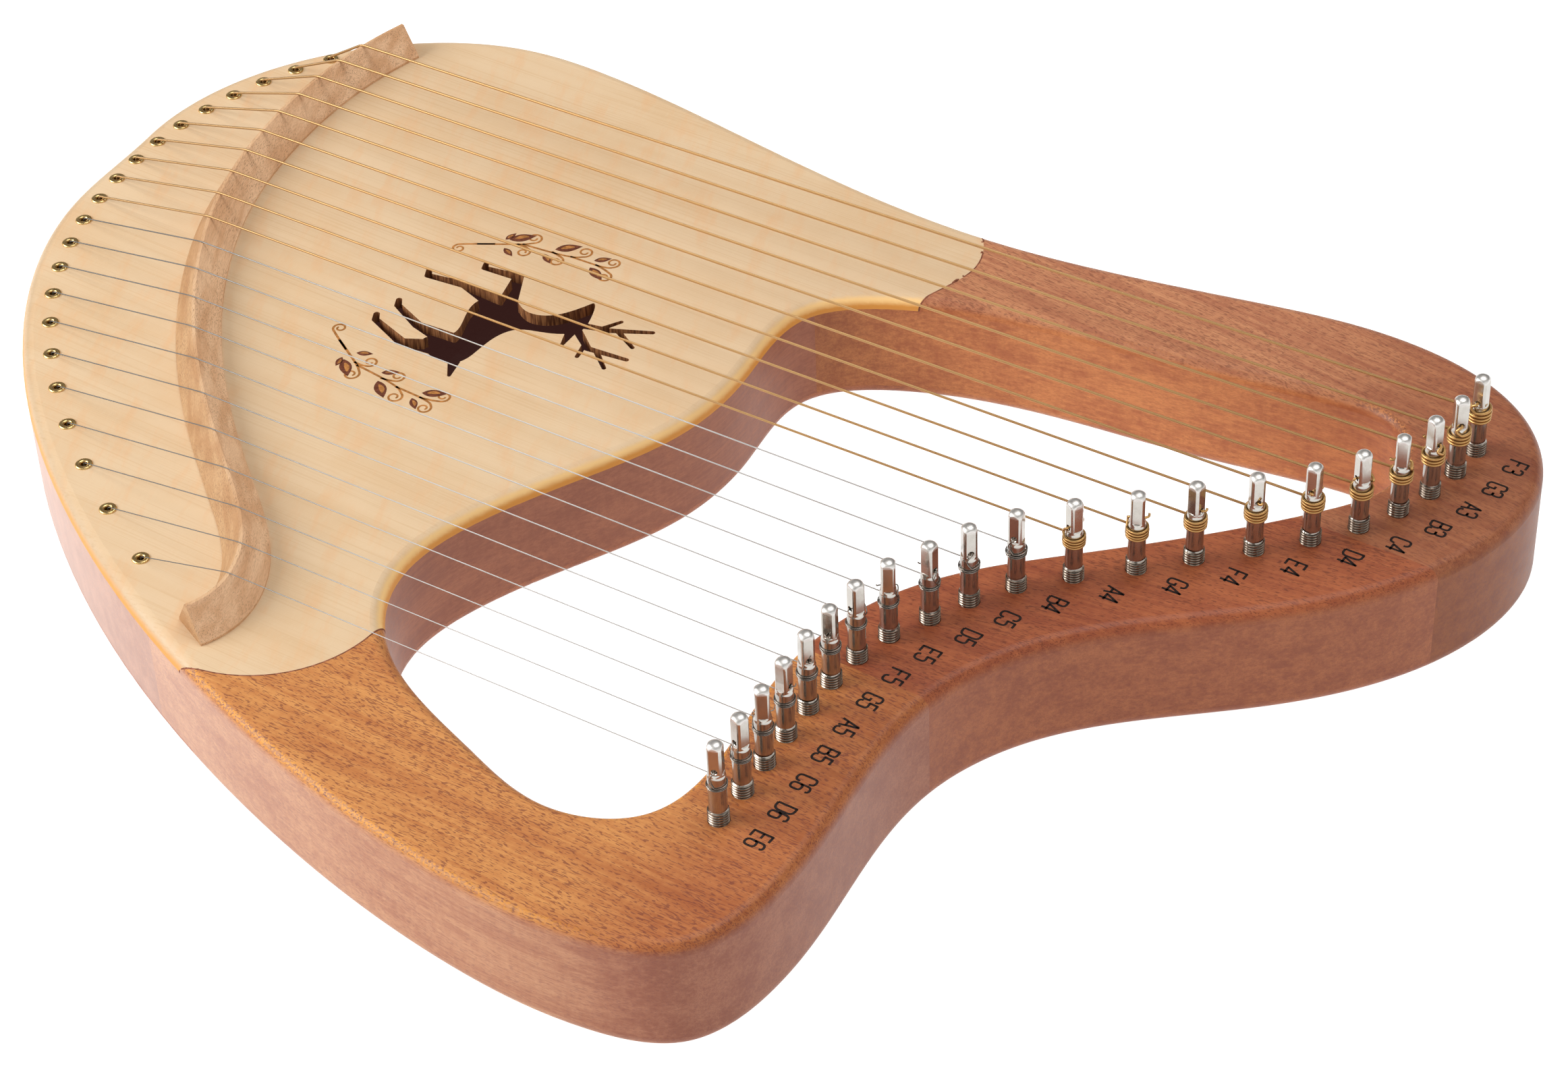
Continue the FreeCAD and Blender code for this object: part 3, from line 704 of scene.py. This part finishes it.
def pin_heights():
    """Places along a pin: close together over the thread, the shoulder and the dome."""
    step = THREAD_PITCH / 5
    foot = [PIN_IN, PIN_IN + POINT / 2]
    thread = [PIN_IN + POINT + step * k for k in range(int((THREAD_TOP - PIN_IN) / step))]
    neck = [THREAD_TOP + 0.3 * MM * k for k in range(5)] + [9 * MM, 13 * MM, FLAT_FROM - 0.2 * MM]
    flats = [FLAT_FROM + 0.14 * MM * k for k in range(14)]
    squared, end = FLAT_FROM + SHOULDER, PIN_OUT - DOME
    head = [squared + (end - squared) * k / 8 for k in range(9)]
    dome = [end + DOME * math.sin(math.radians(6 + 78 * k / 10)) for k in range(11)]
    return foot + thread + neck + flats + head + dome


def thread_radius(z, angle):
    """A helical ridge that fades out at its top and tapers at the pin's foot."""
    turn = (z / THREAD_PITCH - angle / (2 * math.pi)) % 1.0
    crest = min(1.0, 1.5 * (1 - abs(2 * turn - 1)))
    ridge = THREAD_ROOT + (THREAD_R - THREAD_ROOT) * crest
    fade = min(1.0, max(0.0, (THREAD_TOP - z) / (0.5 * MM)))
    taper = min(1.0, (z - PIN_IN) / POINT)
    return (SHAFT_R + (ridge - SHAFT_R) * fade) * (0.74 + 0.26 * taper)


def head_radius(z, angle):
    """Four flats that curve in from the round shaft, with round corners and a domed end."""
    rise = min(1.0, (z - FLAT_FROM) / (1.5 * MM))
    sink = 1 - math.sqrt(1 - rise * rise)
    corner = SHAFT_R + (HEAD_R - SHAFT_R) * min(1.0, (z - FLAT_FROM) / (0.6 * MM))
    if z > PIN_OUT - DOME:
        up = (z - PIN_OUT + DOME) / DOME
        corner = HEAD_R * math.sqrt(max(0.0, 1 - up * up)) ** 0.9
    flat = SHAFT_R + (FLAT - SHAFT_R) * math.sqrt(sink)
    quarter = (angle + math.pi / 4) % (math.pi / 2) - math.pi / 4
    return min(corner, flat / math.cos(quarter))


def pin_radius(z, angle):
    if z < THREAD_TOP + 0.3 * MM:
        return thread_radius(z, angle)
    if z < FLAT_FROM:
        return SHAFT_R
    return head_radius(z, angle)


def pin_mesh():
    """One pin on the Z axis with Z = 0 at the wood, its thread a true helix and its eye cut through."""
    angles, heights = pin_angles(), pin_heights()
    points = []
    for z in heights:
        for a in angles:
            r = pin_radius(z, a)
            points.append((r * math.cos(a), r * math.sin(a), z))
    n = len(angles)
    faces = around(points, n)
    points += [(0, 0, heights[0]), (0, 0, PIN_OUT)]
    top = (len(heights) - 1) * n
    for k in range(n):
        j = (k + 1) % n
        faces.append((j, k, len(points) - 2))
        faces.append((top + k, top + j, len(points) - 1))
    pin = new_object("pin_pattern", points, faces, nickel)
    cutter = eye_cutter()
    cut = pin.modifiers.new("eye", "BOOLEAN")
    cut.operation = "DIFFERENCE"
    cut.object = cutter
    cut.solver = "EXACT"
    graph = bpy.context.evaluated_depsgraph_get()
    mesh = bpy.data.meshes.new_from_object(pin.evaluated_get(graph))
    mesh.shade_smooth()
    mesh.set_sharp_from_angle(angle=math.radians(28))
    bpy.data.objects.remove(pin)
    bpy.data.objects.remove(cutter)
    return mesh


def eye_cutter():
    """A bar across the pin along X, wider at both ends for the countersinks."""
    wide, mouth, neck = 1.9 * MM, 3.2 * MM, 1.9 * MM
    stations = [(-mouth, wide), (-neck, EYE_R), (neck, EYE_R), (mouth, wide)]
    count = 20
    points = []
    for x, r in stations:
        for k in range(count):
            a = 2 * math.pi * k / count
            points.append((x, r * math.cos(a), EYE_AT + r * math.sin(a)))
    last = (len(stations) - 1) * count
    faces = around(points, count)
    faces += [tuple(range(count - 1, -1, -1)), tuple(range(last, last + count))]
    return new_object("eye_cutter", points, faces, nickel, smooth=False)


def make_pins():
    mesh = pin_mesh()
    for index, note in enumerate(NOTES):
        pin = link(f"tuning_pin_{note}_turned", mesh)
        pin.location = pin_centre(note)
        pin.rotation_euler = (0, 0, math.radians(PIN_TURN * index))
        finish(pin, f"tuning_pin_{note}", f"pin_{note}")


# ---- strings ----
FIT = 0.05 * MM  # between a pin and the string wound on it
COIL_OUT = 12.8 * MM  # height of the lowest turn above the wood
TURNS = (4, 3)  # of a wound and of a plain string
LOOSE = (0.3, 0.9)  # how untidily each of them lies
BALL_AT = 6.8 * MM
EYELET_RIM = 0.6 * MM


def ridge_crossing(hole, pin, bridge):
    """Where the line from the hole to the pin passes over the highest part of the bridge."""
    best = None
    steps = 600
    for k in range(steps):
        at = hole.lerp(pin, 0.5 * k / steps)
        hit = bridge.ray_cast(Vector((at.x, at.y, 1.0)), -UP)[0]
        if hit is not None and (best is None or hit.z > best.z + 1e-7):
            best = hit
    return best


def speaking_string(index, hole, pin, bridge):
    """The held part of a string: up through its eyelet, over the bridge, and straight to its pin."""
    thick = string_diameter(index)
    round_pin = SHAFT_R + FIT + thick / 2
    along = (pin - hole).normalized()
    meet = pin + Vector((-along.y, along.x, 0)) * round_pin + UP * COIL_OUT
    over = ridge_crossing(hole, pin, bridge) + UP * (thick / 2)
    start = Vector((hole.x, hole.y, BALL_AT))
    rim = Vector((hole.x, hole.y, FRONT + EYELET_RIM + thick / 2))
    path = [start, Vector((hole.x, hole.y, FRONT - 2 * MM))]
    path += bend(rim, start, over, 0.9 * MM, 6)
    path += bend(over, rim, meet, 1.6 * MM, 6)
    path.append(meet)
    return path, round_pin, thick


def coil_path(pin, round_pin, thick, start_angle, turns, loose, eye_angle):
    """Turns that climb the pin from the lowest one, and the end that goes up into the pin's eye."""
    steps_per_turn = 40
    climb_from = 0.72  # share of a turn that is level, before it climbs to the next
    to_eye = (start_angle - eye_angle) % (2 * math.pi)
    sweep = 2 * math.pi * (turns - 1) + to_eye
    count = int(steps_per_turn * sweep / (2 * math.pi))
    gap = thick * (1.02 + loose)
    path = []
    for k in range(count + 1):
        a = sweep * k / count
        turn = a / (2 * math.pi)
        level = math.floor(turn)
        climb = max(0.0, (turn - level - climb_from) / (1 - climb_from))
        height = level + climb * climb * (3 - 2 * climb)
        sway = loose * thick * 0.8 * math.sin(a * 0.9 + start_angle * 3) if turn > 1 else 0.0
        r = round_pin + loose * thick * 0.25 * (1 + math.sin(1.7 * a + start_angle))
        out = Vector((math.cos(start_angle - a), math.sin(start_angle - a), 0))
        path.append(pin + out * r + UP * (COIL_OUT + gap * height + sway))
    return path


def eye_end(pin, path, thick, eye_angle):
    """From the last turn up and into the eye, and a short hooked end out of the far side."""
    spread = 0.5  # radians from the eye to the place where the wire leaves the shaft
    last = path[-1]
    out = Vector((math.cos(eye_angle), math.sin(eye_angle), 0))
    side = Vector((out.y, -out.x, 0))
    mouth = pin + out * (FLAT + 0.5 * MM) + UP * EYE_AT
    r = SHAFT_R + FIT + thick / 2
    rise = pin + (out * math.cos(spread) + side * math.sin(spread)) * (r + 0.15 * MM)
    rise.z = (last.z + mouth.z) / 2
    far = pin - out * (FLAT + 0.1 * MM) + UP * EYE_AT
    tip = pin - out * (FLAT + 1.1 * MM) + UP * (EYE_AT + 0.2 * MM) + side * (0.5 * MM)
    hook = pin - out * (FLAT + 1.2 * MM) + UP * (EYE_AT + 0.9 * MM) + side * (1.0 * MM)
    knots = [path[-2], last, rise, mouth, pin + UP * EYE_AT, far, tip, hook]
    return smooth_run(knots, 6)[1:]


def smooth_run(knots, steps):
    """A Catmull-Rom curve through the inner knots, from the second to the last."""
    out = []
    padded = knots + [knots[-1] * 2 - knots[-2]]
    for a, b, c, d in zip(padded, padded[1:], padded[2:], padded[3:]):
        for k in range(steps):
            t = k / steps
            out.append(0.5 * ((b * 2) + (c - a) * t + (a * 2 - b * 5 + c * 4 - d) * t ** 2
                              + (b * 3 - a - c * 3 + d) * t ** 3))
    out.append(knots[-1])
    return out


def make_strings():
    holes = eyelet_centres()
    bridge = tree_of("bridge")
    for index, note in enumerate(NOTES):
        pin = pin_centre(note)
        path, round_pin, thick = speaking_string(index, holes[index], pin, bridge)
        wound = index < WOUND
        material, slot = (bronze, "bronze_wound") if wound else (steel, "steel_wire")
        sides = 12 if wound else 8
        straight = Tubes().add(path, thick / 2, sides).build(f"string_{note}_run", material)
        finish(straight, f"string_{note}")
        meet = path[-1]
        start_angle = math.atan2(meet.y - pin.y, meet.x - pin.x)
        eye_angle = math.radians(PIN_TURN * index)
        kind = 0 if wound else 1
        path = coil_path(pin, round_pin, thick, start_angle, TURNS[kind], LOOSE[kind], eye_angle)
        path += eye_end(pin, path, thick, eye_angle)
        coil = Tubes().ring(pin + UP * COIL_OUT, round_pin, thick / 2, sides)
        coil.add(path, thick / 2, sides)
        wire = bronze_turns if wound else shaded_coil_steel
        finish(coil.build(f"string_{note}_coil", wire), body=f"pin_{note}")


# ---- eyelets and ball ends ----
def lathe(profile, count=32):
    """Points and faces of a ring-shaped solid from a closed run of (radius, height)."""
    points, faces = [], []
    for k in range(count):
        a = 2 * math.pi * k / count
        points += [Vector((r * math.cos(a), r * math.sin(a), z)) for r, z in profile]
    n = len(profile)
    for k in range(count):
        for i in range(n):
            j, m = (i + 1) % n, (k + 1) % count
            faces.append((k * n + i, m * n + i, m * n + j, k * n + j))
    return points, faces


def copies(points, faces, places):
    """The points and faces of one mesh that holds a solid at each place."""
    all_points, all_faces = [], []
    for place in places:
        start = len(all_points)
        all_points += [p + place for p in points]
        all_faces += [tuple(i + start for i in face) for face in faces]
    return all_points, all_faces


def make_eyelets():
    bore, barrel, flange, thick, deep = 1.05 * MM, 1.7 * MM, 2.7 * MM, 0.55 * MM, 6 * MM
    roll = [(bore + (flange - bore) * (0.5 - 0.5 * math.cos(t)), thick * math.sin(t) ** 0.8)
            for t in (math.pi * k / 10 for k in range(1, 10))]
    profile = [(bore, -deep), (bore, 0.0)] + roll + [(flange, 0.0), (barrel, -0.02 * MM), (barrel, -deep)]
    points, faces = copies(*lathe(profile[::-1]), eyelet_centres())
    finish(new_object("eyelets_rolled", points, faces, brass, sharp=40), "eyelets")


def make_ball_ends():
    """Drums that lie along X, with a groove round the middle and a bevel of edge at both ends."""
    end, radius, bore, edge = 1.7 * MM, 2.2 * MM, 0.9 * MM, 0.4 * MM
    groove, half = 0.35 * MM, 0.25 * MM
    profile = [(bore, -end), (bore, end), (radius - edge, end), (radius, end - edge), (radius, half),
               (radius - groove, 0.0), (radius, -half), (radius, -end + edge), (radius - edge, -end)]
    drum, drum_faces = lathe(profile[::-1], 24)
    lie = Matrix.Rotation(math.radians(90), 4, "Y")
    places = [Vector((at.x, at.y, BALL_AT)) for at in eyelet_centres()]
    points, faces = copies([lie @ p for p in drum], drum_faces, places)
    finish(new_object("ball_ends_grooved", points, faces, brass, sharp=40), "ball_ends")


# ---- note names ----
# Strokes as corners, (x, y) or (x, y, radius), on a letter one unit high and half a unit wide.
GLYPHS = {
    "A": [[(0, 0), (0.25, 1, 0.04), (0.5, 0)], [(0.09, 0.34), (0.41, 0.34)]],
    "B": [[(0.28, 0.53), (0, 0.53)],
          [(0, 0), (0, 1, 0.01), (0.44, 1, 0.2), (0.44, 0.53, 0.2), (0.26, 0.53)],
          [(0.26, 0.53), (0.5, 0.53, 0.22), (0.5, 0, 0.24), (0, 0)]],
    "C": [[(0.48, 0.74), (0.48, 1, 0.22), (0, 1, 0.22), (0, 0, 0.22), (0.48, 0, 0.22),
           (0.48, 0.26)]],
    "D": [[(0, 0), (0, 1, 0.01), (0.5, 1, 0.3), (0.5, 0, 0.3), (0, 0)]],
    "E": [[(0.44, 1), (0, 1, 0.01), (0, 0, 0.01), (0.46, 0)], [(0, 0.53), (0.38, 0.53)]],
    "F": [[(0.46, 1), (0, 1, 0.01), (0, 0)], [(0, 0.53), (0.38, 0.53)]],
    "G": [[(0.48, 0.76), (0.48, 1, 0.22), (0, 1, 0.22), (0, 0, 0.22), (0.48, 0, 0.2),
           (0.48, 0.44, 0.01), (0.27, 0.44)]],
    "3": [[(0, 0.8), (0.02, 1, 0.16), (0.44, 1, 0.2), (0.44, 0.54, 0.16), (0.18, 0.54)],
          [(0.18, 0.54), (0.48, 0.54, 0.2), (0.48, 0, 0.22), (0, 0, 0.2), (0, 0.22)]],
    "4": [[(0.36, 0), (0.36, 1, 0.01), (0, 0.28, 0.01), (0.5, 0.28)]],
    "5": [[(0.44, 1), (0.06, 1, 0.01), (0.04, 0.58, 0.01), (0.47, 0.62, 0.22), (0.47, 0, 0.24),
           (0, 0, 0.2), (0, 0.2)]],
    "6": [[(0.44, 0.84), (0.44, 1, 0.16), (0.02, 1, 0.24), (0.02, 0, 0.22), (0.47, 0, 0.22),
           (0.47, 0.56, 0.2), (0.04, 0.56, 0.16), (0.03, 0.42)]],
}
LETTER_HIGH = 5.9 * MM
LETTER_WIDE = 5.3 * MM  # twice the width of a letter
LETTER_STEP = 3.3 * MM  # from one character to the next
LETTER_STROKE = 0.37 * MM  # half the width of a stroke
LABEL_OUT = 13.3 * MM  # from a pin's centre to the middle of its name
LABEL_RIGHT = 1.2 * MM


def make_labels():
    for note in NOTES:
        at = pin_centre(note)
        lines = Lines()
        width = LETTER_STEP + LETTER_WIDE / 2
        for place, character in enumerate(note):
            left = at.x + LABEL_RIGHT - width / 2 + place * LETTER_STEP
            foot = at.y + LABEL_OUT - LETTER_HIGH / 2
            for stroke in GLYPHS[character]:
                run = [Vector((left + p.x * LETTER_WIDE, foot + p.y * LETTER_HIGH))
                       for p in rounded(stroke)]
                lines.stroke(run, LETTER_STROKE)
        finish(lines.build(f"note_name_{note}", ink))


# ---- ornament ----
def curl(start, heading, radius, hand):
    """A tendril that leaves a point along a heading and winds in to one side."""
    turns, steps, shrink = 1.25, 30, 0.72
    run = [start.copy()]
    angle = heading
    swing = 2 * math.pi * turns / steps
    for k in range(steps):
        angle += hand * swing
        step = radius * (1 - shrink * k / steps) * swing
        run.append(run[-1] + Vector((math.cos(angle), math.sin(angle))) * step)
    return run


def leaf(blades, cores, foot, heading, long):
    """A pointed leaf: a dark blade with a paler core."""
    along = Vector((math.cos(heading), math.sin(heading)))
    side = Vector((-along.y, along.x))
    half, core_half = long * 0.22, long * 0.07
    there = [k / 9 for k in range(10)]
    edge = [foot + along * (long * t) + side * (sign * half * math.sin(math.pi * t ** 0.85))
            for sign, ts in ((1, there), (-1, there[-2:0:-1])) for t in ts]
    blades.slab(edge)
    core = [foot + along * (long * (0.22 + 0.5 * t)) + side * (half * 0.22 * math.sin(3 * t))
            for t in (k / 5 for k in range(6))]
    cores.stroke(core, core_half, lambda t: 0.35 + math.sin(math.pi * t))


# In millimetres from the vine's foot: runs that each end in a curl, with the curl's radius and the
# side it winds to, and leaves from their foot to their tip.
SHOOTS = [([(-8, 8), (-5, 3), (-2, -1.8)], 2.2, 1),
          ([(-5, 3), (-9, 10), (-12.5, 15.8), (-15, 18.8)], 2.6, 1),
          ([(-11.6, 14), (-11.7, 17), (-11.2, 19)], 2.3, -1),
          ([(-12.4, 15.6), (-13, 21.5), (-13.8, 28), (-15, 33.5), (-17, 36.8)], 2.5, 1),
          ([(-13.9, 26), (-13.2, 29.5), (-12.7, 31)], 2.4, -1),
          ([(-14.8, 32.6), (-15, 37.5), (-15.3, 43), (-16, 46.5), (-17.2, 48)], 2.3, 1),
          ([(-15.3, 42), (-14.6, 46), (-13.6, 49)], 2.4, -1)]
LEAVES = [((-12.2, 10.5), (-18.4, 16.8)), ((-11.6, 9.4), (-16.2, 10.4)), ((-7.6, 11.8), (-5.4, 16.6)),
          ((-15.4, 26.2), (-21.2, 32.8)), ((-11.6, 24.6), (-8.4, 29.2)), ((-16.8, 40.4), (-20.6, 44.6)),
          ((-13.2, 41.4), (-9.6, 48.4))]
LIFTS = (0.03 * MM, 0.04 * MM, 0.06 * MM)  # of stems, leaves and leaf cores
STEM = 0.42 * MM  # half the width of a stem at its foot
VINES = {"vine_bass": (Vector((-57.2, -106)) * MM, 1), "vine_treble": (Vector((-4.4, -112.2)) * MM, -1)}


def make_vines():
    for name, (foot, mirror) in VINES.items():
        stems, leaves, cores = (Lines(lift) for lift in LIFTS)
        flip = Vector((mirror * MM, MM))
        for points, radius, side in SHOOTS:
            knots = [foot + Vector(p) * flip for p in points]
            run = smooth_run([knots[0] * 2 - knots[1]] + knots, 8)
            ahead = run[-1] - run[-2]
            heading = math.atan2(ahead.y, ahead.x)
            run += curl(run[-1], heading, radius * MM, side * mirror)[1:]
            stems.stroke(run, STEM, lambda t: 1.0 - 0.25 * t)
        for start, tip in LEAVES:
            start, tip = foot + Vector(start) * flip, foot + Vector(tip) * flip
            along = tip - start
            leaf(leaves, cores, start, math.atan2(along.y, along.x), along.length)
        finish(stems.build(f"{name}_stems", scorch))
        finish(leaves.build(f"{name}_leaves", leaf_brown))
        finish(cores.build(f"{name}_cores", scorch))


# ---- glue lines ----
GLUE_R = 0.45 * MM
GLUE_SUNK = 0.36 * MM  # how far a line's axis lies under the surface
GLUE_FROM = -58 * MM  # joints nearer to the tail than this don't show


def joint_edges():
    """The upper edges of the soundboard's upright joint faces, each with the surface's normal there."""
    mesh = nodes["soundboard"].data
    walls, above = set(), {}
    for face in mesh.polygons:
        corners = [mesh.vertices[i].co for i in face.vertices]
        for a, b in zip(corners, corners[1:] + corners[:1]):
            key = frozenset((tuple(round(c, 6) for c in a), tuple(round(c, 6) for c in b)))
            if abs(face.normal.z) < 0.02:
                walls.add(key)
            elif face.normal.z > 0:
                above[key] = face.normal.copy()
    return [(sorted(key), above[key]) for key in walls if key in above and len(key) == 2]


def make_glue_line():
    low, high = STAG_BOX
    tubes = Tubes()
    for ends, normal in joint_edges():
        a, b = (Vector(end) for end in ends)
        if a.y < GLUE_FROM or (low.x < a.x < high.x and low.y < a.y < high.y):
            continue
        along = (b - a).normalized() * (0.1 * MM)
        sunk = normal * GLUE_SUNK
        tubes.add([a - along - sunk, b + along - sunk], GLUE_R, 10)
    finish(tubes.build("glue_lines", glue_brown))


# ---- floor, light and camera ----
FLOOR_GLOW = (1.35, 0.85)  # at the tail's side, at the pins' side
FLOOR_SIZE = 12.0
FLOOR_DROP = 0.2 * MM  # under the harp's back
ROOM = 0.44  # strength of the even light from all round
GAP = (0.26, 0.23, 0.21, 1)  # what shines between the room's panels, and a panel
PANEL = (2.0, 1.97, 1.93, 1)
ROOM_WHITE = (1.0, 0.99, 0.975, 1)


def make_floor():
    """A floor that is pure white to the camera, and lights the harp most from its tail."""
    s = Shader("white_floor")
    path = s.node("LightPath")
    y = s.split(s.place)[1]
    glow = s.between(y, -0.6, 0.1, FLOOR_GLOW[0], FLOOR_GLOW[1])
    camera = path.outputs["Is Camera Ray"]
    glow = s.plus(s.times(s.minus(1.0, camera), glow), camera)
    s.set(Base_Color=(0.30, 0.30, 0.30, 1.0), Roughness=0.9, Specular_IOR_Level=0.0,
          Emission_Color=(1, 1, 1, 1), Emission_Strength=glow)
    corners = [(x * FLOOR_SIZE, y * FLOOR_SIZE, 0) for x, y in ((-1, -1), (1, -1), (1, 1), (-1, 1))]
    floor = new_object("floor", corners, [(0, 1, 2, 3)], s.material, smooth=False)
    floor.location.z = -FLOOR_DROP


def area_light(name, at, size, power):
    data = bpy.data.lights.new(name, "AREA")
    data.shape = "RECTANGLE"
    data.size, data.size_y = size
    data.energy = power
    light = link(name, data)
    light.location = at
    light.rotation_euler = (-Vector(at)).to_track_quat("-Z", "Y").to_euler()


def make_world():
    """An even white room for matt surfaces, with dark gaps between its panels in reflections."""
    world = bpy.data.worlds.new("studio")
    world.use_nodes = True
    tree = world.node_tree
    background = tree.nodes["Background"]
    path = tree.nodes.new("ShaderNodeLightPath")
    place = tree.nodes.new("ShaderNodeTexCoord")
    wave = tree.nodes.new("ShaderNodeTexNoise")
    wave.inputs["Scale"].default_value = 1.3
    wave.inputs["Detail"].default_value = 0.0
    ramp = tree.nodes.new("ShaderNodeValToRGB")
    for element, at, colour in zip(ramp.color_ramp.elements, (0.44, 0.56), (GAP, PANEL)):
        element.position = at
        element.color = colour
    mix = tree.nodes.new("ShaderNodeMix")
    mix.data_type = "RGBA"
    mix.inputs["A"].default_value = ROOM_WHITE
    for source, target in ((place.outputs["Generated"], wave.inputs["Vector"]),
                           (wave.outputs["Fac"], ramp.inputs["Fac"]),
                           (ramp.outputs["Color"], mix.inputs["B"]),
                           (path.outputs["Is Glossy Ray"], mix.inputs["Factor"]),
                           (mix.outputs["Result"], background.inputs["Color"])):
        tree.links.new(source, target)
    background.inputs["Strength"].default_value = ROOM
    bpy.context.scene.world = world


def make_light():
    make_world()
    area_light("key", (0.95, -1.25, 0.95), (1.2, 0.9), 29)
    area_light("top", (-0.5, 0.2, 1.9), (1.2, 1.2), 14)


CAMERA_AT = (0.7267, 0.5600, 0.7680)
CAMERA_HEADING = (-0.8211, -0.5707)  # across the floor, away from the camera
CAMERA_DOWN = 39.788  # degrees below the horizon
CAMERA_ROLL = 2.204
LENS, SENSOR = 90.5, 36.0


def make_camera():
    data = bpy.data.cameras.new("camera")
    data.lens, data.sensor_width = LENS, SENSOR
    data.sensor_fit = "HORIZONTAL"
    data.clip_start, data.clip_end = 0.05, 60.0
    camera = link("camera", data)
    down = math.radians(CAMERA_DOWN)
    ahead = Vector((*CAMERA_HEADING, 0)) * math.cos(down) - UP * math.sin(down)
    right = ahead.cross(UP).normalized()
    rise = right.cross(ahead)
    roll = math.radians(CAMERA_ROLL)
    x = right * math.cos(roll) - rise * math.sin(roll)
    y = right * math.sin(roll) + rise * math.cos(roll)
    turn = Matrix((x, y, -ahead)).transposed().to_4x4()
    camera.matrix_world = Matrix.Translation(CAMERA_AT) @ turn
    bpy.context.scene.camera = camera


make_camera()
dress_cad_wood()
make_pins()
make_strings()
make_eyelets()
make_ball_ends()
make_labels()
make_vines()
make_glue_line()
make_floor()
make_light()
bpy.context.scene.view_settings.view_transform = "Standard"
